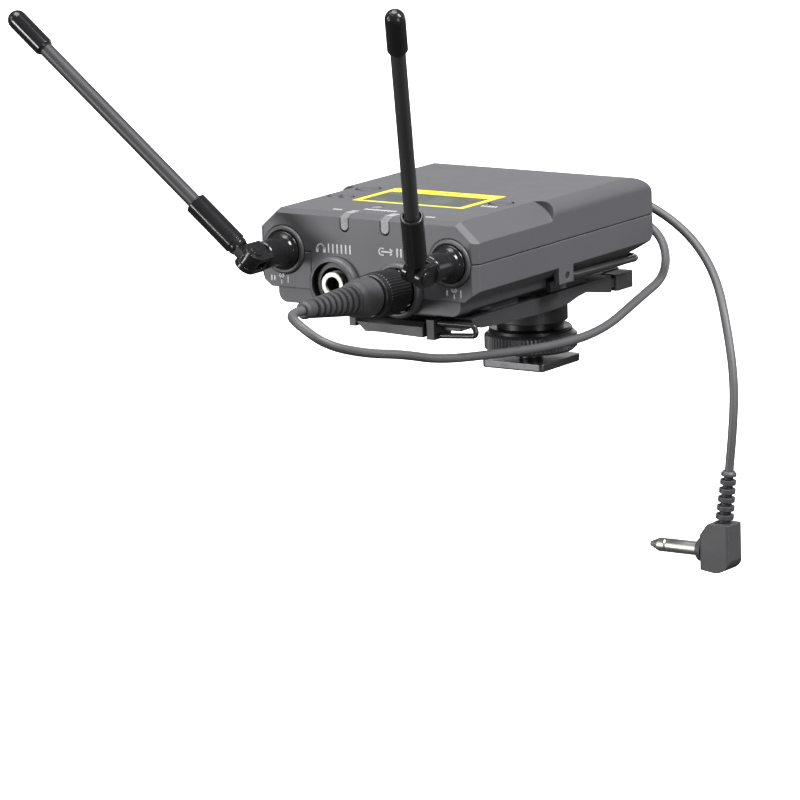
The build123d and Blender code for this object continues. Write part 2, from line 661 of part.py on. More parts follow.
# ---------------------------------------------------------------- batteries and their door
def make_batteries():
    with BuildPart() as battery_tray:
        add(box(-TRAY_HALF, TRAY_HALF, TRAY_FRONT, TRAY_BACK, BODY_BASE + 2.4, BODY_BASE + 17.1))
        add(box(-TRAY_HALF + 0.9, TRAY_HALF - 0.9, TRAY_FRONT + 0.9, TRAY_BACK - 0.8,
                BODY_BASE, BODY_BASE + 16.4), mode=Mode.SUBTRACT)
        add(box(-TRAY_HALF - 1, TRAY_HALF + 1, TRAY_FRONT - 1, DOOR_AXIS_Y + 2.2,
                BODY_BASE, BODY_BASE + 5.0), mode=Mode.SUBTRACT)
    save(battery_tray.part, "battery_tray")

    middle = (TRAY_FRONT + TRAY_BACK) / 2
    body = CELL_LENGTH / 2 - 0.6
    with BuildPart() as battery_cells:
        for side in (1, -1):
            profile = [
                (0, -body), (CELL_RADIUS - 0.6, -body), (CELL_RADIUS, 0.6 - body), (CELL_RADIUS, body - 1.4),
                (CELL_RADIUS - 0.8, body - 0.8), (2.7, body - 0.8), (2.7, body + 0.6), (0, body + 0.6),
            ]
            add(turned(profile, (side * CELL_X, middle, CELL_Z), (0, side, 0)))
    save(battery_cells.part, "battery_cells")

    with BuildPart() as battery_contacts:
        for side in (1, -1):
            flat_end = middle - side * body
            wall = TRAY_FRONT + 0.9 if side > 0 else TRAY_BACK - 0.8
            gap = abs(wall - flat_end)
            cone = [(0, 0), (2.2, 0), (2.2, 0.25), (3.8, gap - 0.2), (3.8, gap), (0, gap)]
            add(turned(cone, (side * CELL_X, flat_end, CELL_Z), (0, -side, 0)))
    save(battery_contacts.part, "battery_contacts")

    with BuildPart() as battery_door:
        add(box(-DOOR_HALF, DOOR_HALF, DOOR_AXIS_Y, DOOR_BACK, BODY_BASE, BODY_BASE + DOOR_THICK))
        add(rod(1.4, (-DOOR_HALF, DOOR_AXIS_Y, DOOR_AXIS_Z), (DOOR_HALF, DOOR_AXIS_Y, DOOR_AXIS_Z)))
        for side in (1, -1):
            ridge = sorted((side * 11.0, side * 13.0))
            add(box(*ridge, DOOR_AXIS_Y + 6, DOOR_BACK - 3, BODY_BASE, BODY_BASE + DOOR_THICK + 0.5))
        with BuildSketch(Plane.XY.offset(BODY_BASE)):
            with Locations(*[(0, DOOR_BACK - 4 - 2.2 * k) for k in range(4)]):
                Rectangle(14, 0.9)
        extrude(amount=0.45, mode=Mode.SUBTRACT)
        add(
            rod(0.66, (-DOOR_HALF - 1, DOOR_AXIS_Y, DOOR_AXIS_Z), (DOOR_HALF + 1, DOOR_AXIS_Y, DOOR_AXIS_Z)),
            mode=Mode.SUBTRACT,
        )
    save(battery_door.part, "battery_door")
    reach = DOOR_HALF + 2.2
    save(rod(0.62, (-reach, DOOR_AXIS_Y, DOOR_AXIS_Z), (reach, DOOR_AXIS_Y, DOOR_AXIS_Z)), "door_hinge_pin")

    for side, name in ((1, "door_catch_right"), (-1, "door_catch_left")):
        with BuildPart() as catch:
            plate = sorted((side * (BULGE_HALF + 0.3), side * (BULGE_HALF + 1.35)))
            stem = sorted((side * (DOOR_HALF + 0.9), side * (BULGE_HALF + 0.4)))
            add(box(*plate, -33.6, -26.6, BODY_BASE - 0.1, BODY_BASE + 2.6))
            add(box(*stem, -33.0, -29.2, BODY_BASE + 1.6, BODY_BASE + 2.3))
            for k in range(4):
                groove = sorted((side * (BULGE_HALF + 1.1), side * (BULGE_HALF + 2.0)))
                y = -32.0 + 1.3 * k
                add(box(*groove, y - 0.2, y + 0.2, BODY_BASE - 1, BODY_BASE + 5), mode=Mode.SUBTRACT)
        save(catch.part, name)


def make_wire_clip():
    knee_y = CLIP_Y + 7.0
    right = [
        (HALF - 0.2, CLIP_Y, CLIP_Z),
        (CLIP_HALF, CLIP_Y, CLIP_Z),
        (CLIP_HALF, knee_y, CLIP_ARM_Z),
        (CLIP_HALF, CLIP_BACK, CLIP_BACK_Z),
    ]
    left = [(-x, y, z) for x, y, z in reversed(right)]
    with BuildPart() as wire_clip:
        with BuildLine() as path:
            FilletPolyline(*right, *left, radius=[1.1, 12.0, 4.0, 4.0, 12.0, 1.1])
        with BuildSketch(Plane(origin=right[0], z_dir=(-1, 0, 0))):
            Circle(CLIP_WIRE)
        sweep(path=path.line)
    save(wire_clip.part, "wire_clip")


# ---------------------------------------------------------------- shoe adaptor
def make_adaptor():
    flank = [
        (FRONT + 7.0, PLATE_TOP), (FRONT + 7.6, 23.2), (FRONT + 11.4, 21.6), (-50.6, 21.0), (-35.0, 20.5),
        (-24.5, 20.5), (-20.5, 21.0), (-17.0, 21.8), (-13.0, 22.3), (0.0, 20.0), (2.0, 21.0),
        (2.0, PLATE_TOP),
    ]
    with BuildPart() as adaptor_plate:
        with BuildSketch(Plane.YZ):
            with BuildLine():
                Polyline(*flank, close=True)
            make_face()
        extrude(amount=PLATE_HALF, both=True)
        add(box(-PLATE_INNER, PLATE_INNER, FRONT, 3, 15, PLATE_TOP - PLATE_THICK), mode=Mode.SUBTRACT)
        add(box(-20.4, 20.4, 1.0, 9.8, PLATE_TOP - PLATE_THICK, PLATE_TOP))
        add(box(20.8, PLATE_HALF + 1, -1.3, 3.0, 15, 30), mode=Mode.SUBTRACT)
        add(box(-WINDOW_HALF, WINDOW_HALF, WINDOW_FRONT, WINDOW_BACK, 15, 30), mode=Mode.SUBTRACT)
        for side in (1, -1):
            pad = sorted((side * (WINDOW_HALF + 0.4), side * (PLATE_HALF - 1.5)))
            add(box(*pad, -54.0, -42.0, PLATE_TOP - 0.5, BODY_BASE))
            add(box(*pad, -21.0, -11.0, PLATE_TOP - 0.5, BODY_BASE))
        # a lug at the front edge carries the latch pin and the end of the wire loop
        add(box(15.4, 17.6, LATCH_Y - 3.6, FRONT + 9.5, 19.6, PLATE_TOP))
        add(box(-8.3, -6.4, LATCH_Y - 1.6, FRONT + 9.5, 20.9, PLATE_TOP))
        add(box(-12.6, 17.6, FRONT + 7.4, WINDOW_FRONT, PLATE_TOP - PLATE_THICK, PLATE_TOP))
        # a thin tongue between the wire loop's two runs
        add(box(17.5, 23.4, LATCH_Y - 0.8, FRONT + 9.5, 21.7, 22.5))
        add(rod(0.72, (-14, LATCH_Y, LATCH_Z), (18, LATCH_Y, LATCH_Z)), mode=Mode.SUBTRACT)
        # pocket for the release lever
        add(box(20.9, 24.5, -7.0, 8.5, 20.9, 23.7), mode=Mode.SUBTRACT)
        add(rod(STUD_RADIUS, (0, 0, 15), (0, 0, 26)), mode=Mode.SUBTRACT)
        for side in (1, -1):
            for y in (-6.0, 6.0):
                add(rod(1.1, (side * 6.4, y, 15), (side * 6.4, y, 26)), mode=Mode.SUBTRACT)
    save(adaptor_plate.part, "adaptor_plate")

    with BuildPart() as adaptor_screws:
        for side in (1, -1):
            for y in (-6.0, 6.0):
                profile = [(0, -6.0), (1.0, -6.0), (1.0, 0), (1.9, 0), (1.8, 0.35), (0, 0.45)]
                add(turned(profile, (side * 6.4, y, PLATE_TOP), (0, 0, 1)))
    save(adaptor_screws.part, "adaptor_screws")

    with BuildPart() as front_latch:
        with BuildSketch(outward(LATCH_Y - 0.9)):
            with BuildLine():
                Polyline(
                    (-4.9, BODY_BASE - 2.1), (-4.6, BODY_BASE - 3.0), (-1.7, BODY_BASE - 5.5),
                    (2.3, BODY_BASE - 5.4), (14.9, BODY_BASE - 5.8), (14.9, BODY_BASE - 2.1),
                    close=True,
                )
            make_face()
        extrude(amount=3.6)
        add(rod(1.5, (-6.0, LATCH_Y, LATCH_Z), (14.9, LATCH_Y, LATCH_Z)))
        bevel = front_latch.edges().filter_by(Axis.X).group_by(Axis.Y)[0].group_by(Axis.Z)[-1]
        chamfer(bevel, 1.2)
        add(rod(0.74, (-12, LATCH_Y, LATCH_Z), (16, LATCH_Y, LATCH_Z)), mode=Mode.SUBTRACT)
    save(front_latch.part, "front_latch")
    save(rod(0.7, (-8.1, LATCH_Y, LATCH_Z), (17.3, LATCH_Y, LATCH_Z)), "latch_pin")

    loop = [
        (17.7, LATCH_Y - 2.0, 23.6), (27.4, LATCH_Y - 1.2, 23.5),
        (28.2, LATCH_Y - 0.8, 21.0), (17.7, LATCH_Y - 1.6, 20.4),
    ]
    with BuildPart() as wire_loop:
        with BuildLine() as path:
            FilletPolyline(*loop, radius=1.0)
        with BuildSketch(Plane(origin=loop[0], z_dir=Vector(*loop[1]) - Vector(*loop[0]))):
            Circle(0.7)
        sweep(path=path.line)
    save(wire_loop.part, "wire_loop")

    with BuildPart() as release_lever:
        add(box(21.1, 25.2, 1.2, 9.0, 20.2, 24.3))
        fillet(release_lever.edges().filter_by(Axis.Z), 0.8)
        add(box(21.2, 24.2, -4.0, 2.0, 21.2, 23.4))
        for k in range(3):
            add(box(20, 26, 8.8, 9.6, 21.0 + 1.1 * k, 21.4 + 1.1 * k), mode=Mode.SUBTRACT)
    save(release_lever.part, "release_lever")


def serrated(radius, depth, teeth):
    """Points of a round outline with small teeth."""
    points = []
    for k in range(2 * teeth):
        reach = radius if k % 2 == 0 else radius - depth
        angle = pi * k / teeth
        points.append((reach * cos(angle), reach * sin(angle)))
    return points


def make_post_and_wheel():
    with BuildPart() as shoe_post:
        profile = [
            (STUD_RADIUS, POST_BOTTOM + 2.3), (8.8, POST_BOTTOM + 2.3), (8.8, POST_BOTTOM),
            (POST_RADIUS - 0.2, POST_BOTTOM), (POST_RADIUS, POST_BOTTOM + 0.2),
            (POST_RADIUS, PLATE_TOP - PLATE_THICK), (STUD_RADIUS, PLATE_TOP - PLATE_THICK),
        ]
        add(turned(profile, (0, 0, 0), (0, 0, 1)))
        for side in (1, -1):
            for y in (-6.0, 6.0):
                start = (side * 6.4, y, PLATE_TOP - 6.0)
                add(rod(1.0, start, (side * 6.4, y, PLATE_TOP)), mode=Mode.SUBTRACT)
    save(shoe_post.part, "shoe_post")

    with BuildPart() as lock_wheel:
        with BuildSketch(Plane.XY.offset(WHEEL_BOTTOM)):
            with BuildLine():
                Polyline(*serrated(WHEEL_RADIUS, 0.35, 72), close=True)
            make_face()
        extrude(amount=4.8)
        envelope_profile = [
            (0, 0), (WHEEL_RADIUS - 0.9, 0), (WHEEL_RADIUS + 0.1, 0.9), (WHEEL_RADIUS + 0.1, 3.9),
            (WHEEL_RADIUS - 0.9, 4.8), (0, 4.8),
        ]
        add(turned(envelope_profile, (0, 0, WHEEL_BOTTOM), (0, 0, 1)), mode=Mode.INTERSECT)
        hub = [(0, 4.0), (10.5, 4.0), (10.5, 5.6), (10.2, 5.9), (8.4, 5.9), (8.4, 7.6), (0, 7.6)]
        add(turned(hub, (0, 0, WHEEL_BOTTOM), (0, 0, 1)))
        recess = [(0, -1), (9.4, -1), (9.4, 1.3), (0, 1.3)]
        add(turned(recess, (0, 0, WHEEL_BOTTOM), (0, 0, 1)), mode=Mode.SUBTRACT)
        add(rod(STUD_RADIUS + 0.1, (0, 0, 0), (0, 0, 20)), mode=Mode.SUBTRACT)
    save(lock_wheel.part, "lock_wheel")

    washer = [
        (STUD_RADIUS + 0.15, 0), (8.9, 0), (9.1, 0.2), (9.1, 1.2), (STUD_RADIUS + 0.15, 1.2),
    ]
    save(turned(washer, (0, 0, WHEEL_BOTTOM - 0.3), (0, 0, 1)), "pressure_washer")

    with BuildPart() as shoe_foot:
        with BuildSketch() as plate:
            Rectangle(FOOT_SIDE, FOOT_SIDE)
            fillet(plate.vertices(), 1.2)
        extrude(amount=FOOT_THICK)
        chamfer(shoe_foot.faces().sort_by(Axis.Z)[0].edges(), 0.3)
        with BuildSketch(Plane.XY.offset(FOOT_THICK)):
            Circle(STUD_RADIUS)
        extrude(amount=PLATE_TOP - FOOT_THICK)
    save(shoe_foot.part, "shoe_foot")


# ---------------------------------------------------------------- lead
def ribbed(start_radius, end_radius, length, ribs, knob):
    """Outline of a strain relief: rings that shrink along it, ending in a plain knob."""
    points = [(0, 0), (start_radius, 0)]
    pitch = (length - knob) / ribs
    for k in range(ribs):
        rise = k / ribs
        ring = start_radius + (end_radius - start_radius) * rise
        low = pitch * k
        points += [
            (ring, low + 0.5 * pitch), (ring - RIB_DEPTH, low + 0.6 * pitch),
            (ring - RIB_DEPTH, low + 0.88 * pitch), (ring - 0.1, low + pitch),
        ]
    points += [(end_radius, length - knob), (end_radius, length - 0.6), (end_radius - 0.5, length), (0, length)]
    return points


def make_output_plug():
    centre = (JACK_X, FRONT, JACK_Z)
    out = tuple(Vector(*plug_point(1.0)) - Vector(*centre))
    pin = [
        (0, 1.6), (1.75, 1.6), (1.75, -9.0), (1.5, -9.3), (1.75, -9.6), (1.75, -11.2), (1.3, -12.7),
        (0, -12.7),
    ]
    save(turned(pin, centre, (0, -1, 0)), "output_plug_pin")

    with BuildPart() as plug_collar:
        with BuildSketch(Plane(origin=plug_point(0.9), x_dir=(1, 0, 0), z_dir=out)):
            with BuildLine():
                Polyline(*serrated(5.5, 0.3, 44), close=True)
            make_face()
        extrude(amount=COLLAR_END - 0.9)
        hood = [
            (0, 0.9), (4.9, 0.9), (5.1, 1.1), (5.1, 2.6), (5.6, 3.0), (5.6, COLLAR_END - 2.4),
            (5.25, COLLAR_END - 2.0), (5.25, COLLAR_END - 0.3), (4.95, COLLAR_END), (0, COLLAR_END),
        ]
        add(turned(hood, centre, out), mode=Mode.INTERSECT)
        inside = [(0, 0), (4.2, 0), (4.2, 5.0), (3.35, 5.0), (3.35, 20), (0, 20)]
        add(turned(inside, centre, out), mode=Mode.SUBTRACT)
    save(plug_collar.part, "output_plug_collar")

    with BuildPart() as plug_body:
        shell = [
            (0, 1.75), (3.0, 1.75), (3.0, 4.0), (3.2, 4.2), (3.2, COLLAR_END + 0.3), (4.5, COLLAR_END + 0.3),
            (4.8, COLLAR_END + 0.7), (4.7, 17.0), (4.3, 19.4), (3.8, SLEEVE_BACK), (0, SLEEVE_BACK),
        ]
        add(turned(shell, centre, out))
    save(plug_body.part, "output_plug_body")

    relief = ribbed(3.7, 2.15, RELIEF_END - SLEEVE_BACK, 8, 3.6)
    save(turned(relief, plug_point(SLEEVE_BACK), out), "output_plug_relief")


def make_mic_plug():
    base = Vector(MIC_X, MIC_Y, MIC_TOP)
    axis = Vector(*MIC_RELIEF_TIP) - base
    root = base - axis.normalized()
    relief = turned(ribbed(2.35, 1.95, axis.length + 1, 6, 1.2), tuple(root), tuple(axis))
    save(relief, "mic_plug_relief")

    with BuildPart() as mic_body:
        with BuildSketch(Plane(origin=(0, MIC_Y, 0), x_dir=(1, 0, 0), z_dir=(0, -1, 0))) as face:
            with BuildLine():
                right = MIC_X + 3.2
                left = MIC_X - 5.6
                low = MIC_TOP - MIC_HEIGHT
                Line((left + 2.6, MIC_TOP), (right, MIC_TOP))
                Line((right, MIC_TOP), (right, low + 3.4))
                ThreePointArc((right, low + 3.4), (right - 1.6, low + 0.9), (right - 4.4, low))
                Line((right - 4.4, low), (left, low + 0.6))
                Line((left, low + 0.6), (left, MIC_TOP - 3.4))
                Line((left, MIC_TOP - 3.4), (left + 2.6, MIC_TOP))
            make_face()
        extrude(amount=3.3, both=True)
        fillet(mic_body.edges().filter_by(Axis.Z), 1.0)
        nose = [(0, 0), (3.0, 0), (3.0, 1.2), (2.6, 1.6), (0, 1.6)]
        add(turned(nose, (MIC_X - 5.6, MIC_Y, MIC_TOP - 7.2), (-1, 0, 0)))
        add(relief, mode=Mode.SUBTRACT)
    save(mic_body.part, "mic_plug_body")

    pin = [
        (0, 0), (1.75, 0), (1.75, 9.0), (1.5, 9.3), (1.75, 9.6), (1.75, 11.4), (1.2, 12.6), (0.6, 14.0),
        (0, 14.0),
    ]
    save(turned(pin, (MIC_X - 7.2, MIC_Y, MIC_TOP - 7.2), (-1, 0, 0)), "mic_plug_pin")


def make_cord():
    """The lead as straight runs joined by arcs, each as large as its two runs allow."""
    points = [Vector(*point) for point in CORD_ROUTE]
    radii = []
    for before, here, after in zip(points, points[1:], points[2:]):
        turn = radians((here - before).get_angle(after - here))
        run = min((here - before).length, (after - here).length)
        radii.append(0.45 * run / tan(turn / 2))
    with BuildPart() as output_cord:
        with BuildLine() as path:
            FilletPolyline(*points, radius=radii)
        with BuildSketch(Plane(origin=points[0], z_dir=points[1] - points[0])):
            Circle(CORD_RADIUS)
        sweep(path=path.line)
    save(output_cord.part, "output_cord")
    length = path.wires()[0].length
    print("cord length", round(length, 1), "radii", [round(radius, 1) for radius in radii])
    print("cord volume over section times length",
          round(output_cord.part.volume / (pi * CORD_RADIUS ** 2 * length), 4))


os.makedirs("parts", exist_ok=True)
make_top_shell()
make_bottom_shell()
make_shell_screws()
make_display()
make_controls()
make_board()
make_jacks()
for letter, (side, swivel, elbow) in AERIALS.items():
    make_aerial(letter, side, swivel, elbow)
make_batteries()
make_wire_clip()
make_adaptor()
make_post_and_wheel()
make_output_plug()
make_mic_plug()
make_cord()
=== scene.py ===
from math import cos, radians, sin

import bmesh
import bpy
from mathutils import Matrix, Vector


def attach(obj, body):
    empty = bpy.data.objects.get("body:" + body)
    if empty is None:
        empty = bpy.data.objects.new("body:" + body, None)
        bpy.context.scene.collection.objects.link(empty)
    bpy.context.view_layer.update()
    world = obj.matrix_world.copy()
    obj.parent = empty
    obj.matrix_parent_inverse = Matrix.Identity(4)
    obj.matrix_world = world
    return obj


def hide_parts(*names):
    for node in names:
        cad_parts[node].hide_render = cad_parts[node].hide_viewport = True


# The looks of a camera-mount wireless receiver: its lead, its printed marks and the finish of every piece.
# Lengths are metres. The exceptions are millimetres: names that end in _MM, the camera's lens and sensor,
# and the numbers that draw the printed marks.

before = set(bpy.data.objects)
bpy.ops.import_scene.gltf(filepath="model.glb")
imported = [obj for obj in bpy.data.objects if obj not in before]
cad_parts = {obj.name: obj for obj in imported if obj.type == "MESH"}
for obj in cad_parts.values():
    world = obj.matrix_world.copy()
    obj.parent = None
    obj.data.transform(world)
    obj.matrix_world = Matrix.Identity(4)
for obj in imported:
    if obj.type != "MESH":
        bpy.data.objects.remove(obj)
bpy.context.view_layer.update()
MM = 0.001

# ---------------------------------------------------------------- camera
CAMERA_AZIMUTH = 34.03
CAMERA_ELEVATION = 11.30
CAMERA_ROLL = -1.77
CAMERA_DISTANCE = 1.4953
CAMERA_LENS = 273.9
CAMERA_TARGET = Vector((0, -31, 37.5)) * MM
CAMERA_PAN = (-14.67 * MM, -40.3 * MM)
SENSOR_WIDTH = 36
NEAREST_SEEN = 0.01
FARTHEST_SEEN = 20

azimuth = radians(CAMERA_AZIMUTH)
elevation = radians(CAMERA_ELEVATION)
roll = radians(CAMERA_ROLL)
back = Vector((sin(azimuth) * cos(elevation), -cos(azimuth) * cos(elevation), sin(elevation)))
level = Vector((cos(azimuth), sin(azimuth), 0))
upright = back.cross(level)
right = cos(roll) * level + sin(roll) * upright
up = cos(roll) * upright - sin(roll) * level

camera_data = bpy.data.cameras.new("camera")
camera_data.lens = CAMERA_LENS
camera_data.sensor_width = SENSOR_WIDTH
camera_data.clip_start = NEAREST_SEEN
camera_data.clip_end = FARTHEST_SEEN
camera = bpy.data.objects.new("camera", camera_data)
bpy.context.scene.collection.objects.link(camera)
camera.matrix_world = Matrix.Translation(
    CAMERA_TARGET + CAMERA_PAN[0] * right + CAMERA_PAN[1] * up + CAMERA_DISTANCE * back
) @ Matrix((right, up, back)).transposed().to_4x4()
bpy.context.scene.camera = camera
bpy.context.scene.view_settings.view_transform = "Standard"


# ---------------------------------------------------------------- helpers for materials
SOFT_STEP = 0.1 * MM    # how far a painted border takes to change over


class Nodes:
    """A material's node tree, with short ways to add what the finishes share."""

    def __init__(self, name):
        self.material = bpy.data.materials.new(name)
        self.material.use_nodes = True
        self.tree = self.material.node_tree
        self.shader = self.tree.nodes["Principled BSDF"]
        self.place = self.add("ShaderNodeTexCoord").outputs["Object"]

    def add(self, kind, **settings):
        node = self.tree.nodes.new(kind)
        for key, value in settings.items():
            setattr(node, key, value)
        return node

    def link(self, source, target):
        self.tree.links.new(source, target)

    def noise(self, scale, detail=3.0, rough=0.5):
        node = self.add("ShaderNodeTexNoise")
        node.inputs["Scale"].default_value = scale
        node.inputs["Detail"].default_value = detail
        node.inputs["Roughness"].default_value = rough
        self.link(self.place, node.inputs["Vector"])
        return node.outputs["Fac"]

    def range(self, value, low, high, low_in=0.3, high_in=0.7):
        node = self.add("ShaderNodeMapRange")
        node.inputs["From Min"].default_value = low_in
        node.inputs["From Max"].default_value = high_in
        node.inputs["To Min"].default_value = low
        node.inputs["To Max"].default_value = high
        self.link(value, node.inputs["Value"])
        return node.outputs["Result"]

    def mix(self, factor, first, second):
        node = self.add("ShaderNodeMix", data_type="RGBA")
        self.link(factor, node.inputs["Factor"])
        for value, socket in ((first, node.inputs["A"]), (second, node.inputs["B"])):
            if isinstance(value, tuple):
                socket.default_value = (*value, 1)
            else:
                self.link(value, socket)
        return node.outputs["Result"]

    def math(self, operation, first, second=None):
        node = self.add("ShaderNodeMath", operation=operation)
        for value, socket in zip((first, second), node.inputs):
            if isinstance(value, (int, float)):
                socket.default_value = value
            elif value is not None:
                self.link(value, socket)
        return node.outputs[0]

    def inside_bore(self, across, height, radius):
        """1 inside two bores that run along Y, at this distance from the middle and this height."""
        parts = self.add("ShaderNodeSeparateXYZ")
        self.link(self.place, parts.inputs[0])
        side = self.math("SUBTRACT", self.math("ABSOLUTE", parts.outputs[0]), across)
        rise = self.math("SUBTRACT", parts.outputs[2], height)
        reach = self.math("SQRT", self.math("ADD", self.math("MULTIPLY", side, side),
                                            self.math("MULTIPLY", rise, rise)))
        return self.range(reach, 1.0, 0.0, radius - SOFT_STEP, radius + SOFT_STEP)

    def above(self, height):
        """1 above this height, 0 under it."""
        parts = self.add("ShaderNodeSeparateXYZ")
        self.link(self.place, parts.inputs[0])
        return self.range(parts.outputs[2], 0.0, 1.0, height - SOFT_STEP, height + SOFT_STEP)

    def in_well(self, half_width, front, rear, top):
        """1 inside a box-shaped well that is open upward, 0 outside it."""
        parts = self.add("ShaderNodeSeparateXYZ")
        self.link(self.place, parts.inputs[0])
        across = self.math("ABSOLUTE", parts.outputs[0])
        side = self.range(across, 1.0, 0.0, half_width - SOFT_STEP, half_width)
        after_front = self.range(parts.outputs[1], 0.0, 1.0, front, front + SOFT_STEP)
        before_rear = self.range(parts.outputs[1], 1.0, 0.0, rear - SOFT_STEP, rear)
        under = self.range(parts.outputs[2], 1.0, 0.0, top - SOFT_STEP, top)
        return self.math("MULTIPLY", self.math("MULTIPLY", side, under),
                         self.math("MULTIPLY", after_front, before_rear))

    def edges(self, width):
        """How near a rounded edge the surface is: 0 on open faces, about 1 on an edge."""
        rounded = self.add("ShaderNodeBevel", samples=6)
        rounded.inputs["Radius"].default_value = width
        plain = self.add("ShaderNodeNewGeometry")
        dot = self.add("ShaderNodeVectorMath", operation="DOT_PRODUCT")
        self.link(rounded.outputs["Normal"], dot.inputs[0])
        self.link(plain.outputs["Normal"], dot.inputs[1])
        return self.range(dot.outputs["Value"], 1.0, 0.0, 0.75, 0.99), rounded.outputs["Normal"]

    def bump(self, height, depth, normal):
        node = self.add("ShaderNodeBump")
        node.inputs["Strength"].default_value = 1.0
        node.inputs["Distance"].default_value = depth
        self.link(height, node.inputs["Height"])
        self.link(normal, node.inputs["Normal"])
        return node.outputs["Normal"]


SHADOW_BLACK = (0.008, 0.008, 0.009)
PATCH_SCALE = 55.0       # broad uneven patches of tone
PATCH_SHARE = 0.45       # how much of the tone they decide; the speckle decides the rest
SCUFF_SCALE = 420.0      # breaks up the rubbing and the painted highlight along the edges
SHEEN_SCALE = 140.0      # uneven roughness
COAT_ROUGHNESS = 0.15


def finish(name, tone, rough, grain=900.0, depth=0.00002, spread=0.12, wear_and_glint=0.25, edge=0.00025,
           metallic=0.0, coat=0.0, specular=0.5, bore_shade=None, cap=None, well=None, groove_shade=None,
           sheen_spread=0.065):
    """A moulded, painted or metal finish: two near tones, a fine grain, and edges lightened by rubbing and
    by a painted highlight.

    bore paints shade in SHADOW_BLACK over the inside of two round mouths, cap over what lies above a
    height, and well over the gaps round the display and the buttons; cavity paints shade into grooves
    about this wide, from an occlusion test.
    """
    nodes = Nodes(name)
    shader = nodes.shader
    shader.inputs["Metallic"].default_value = metallic
    shader.inputs["Specular IOR Level"].default_value = specular
    shader.inputs["Coat Weight"].default_value = coat
    shader.inputs["Coat Roughness"].default_value = COAT_ROUGHNESS
    dark = tuple(c * (1 - spread) for c in tone)
    light = tuple(min(1.0, c * (1 + spread) + 0.002) for c in tone)
    # the lighter tone of edges: part rubbing, part painted highlight
    edge_rub_glint_tone = tuple(min(1.0, c * (1 + 2.2 * wear_and_glint) + 0.03 * wear_and_glint) for c in tone)
    patches = nodes.range(nodes.noise(PATCH_SCALE, 4.0), 0.0, 1.0)
    speckle = nodes.range(nodes.noise(grain * 1.7, 2.0), 0.0, 1.0)
    blend = nodes.math("ADD", nodes.math("MULTIPLY", patches, PATCH_SHARE),
                       nodes.math("MULTIPLY", speckle, 1 - PATCH_SHARE))
    edges, rounded = nodes.edges(edge)
    # edges, broken up by noise, are lightened: part rubbing, part a painted highlight standing in for
    # glints
    scuffed_and_glint = nodes.math("MULTIPLY", edges, nodes.range(nodes.noise(SCUFF_SCALE), 0.15, 1.0))
    colour = nodes.mix(scuffed_and_glint, nodes.mix(blend, dark, light), edge_rub_glint_tone)
    # painted shade: the inside of two round mouths is painted SHADOW_BLACK
    if bore_shade is not None:
        colour = nodes.mix(nodes.inside_bore(*bore_shade), colour, SHADOW_BLACK)
    # painted shade: what lies above cap, the wheel's hub under the post, is painted SHADOW_BLACK
    if cap is not None:
        colour = nodes.mix(nodes.above(cap), colour, SHADOW_BLACK)
    # painted shade: the gaps round the display and the buttons are painted SHADOW_BLACK
    if well is not None:
        colour = nodes.mix(nodes.in_well(*well), colour, SHADOW_BLACK)
    # painted shade: grooves are darkened towards SHADOW_BLACK by an occlusion test
    if groove_shade is not None:
        open_air = nodes.add("ShaderNodeAmbientOcclusion", samples=8, only_local=True)
        open_air.inputs["Distance"].default_value = groove_shade
        colour = nodes.mix(nodes.range(open_air.outputs["AO"], 0.0, 1.0, 0.3, 0.85), SHADOW_BLACK, colour)
    nodes.link(colour, shader.inputs["Base Color"])
    sheen = nodes.range(nodes.noise(SHEEN_SCALE, 5.0), rough - sheen_spread, rough + sheen_spread)
    nodes.link(sheen, shader.inputs["Roughness"])
    height = nodes.noise(grain, 3.0, 0.6)
    nodes.link(nodes.bump(height, depth, rounded), shader.inputs["Normal"])
    return nodes.material


# a pair of mouths, painted black inside as shade: distance from the middle, height, radius
JACK_MOUTH = (9.2 * MM, 31.6 * MM, 5.65 * MM)
AERIAL_MOUTH = (24.0 * MM, 39.05 * MM, 4.8 * MM)
# half width, front, rear and top of the box that holds the gaps round the display and the buttons, which
# are painted black as shade
CONTROL_WELL = (26.0 * MM, -66.0 * MM, -32.5 * MM, 48.9 * MM)
# the lock wheel is painted SHADOW_BLACK above this height, as shade under the post
WHEEL_HUB = 8.8 * MM
# grooves about this wide are darkened as painted shade by an occlusion test
GROOVE = 1.0 * MM

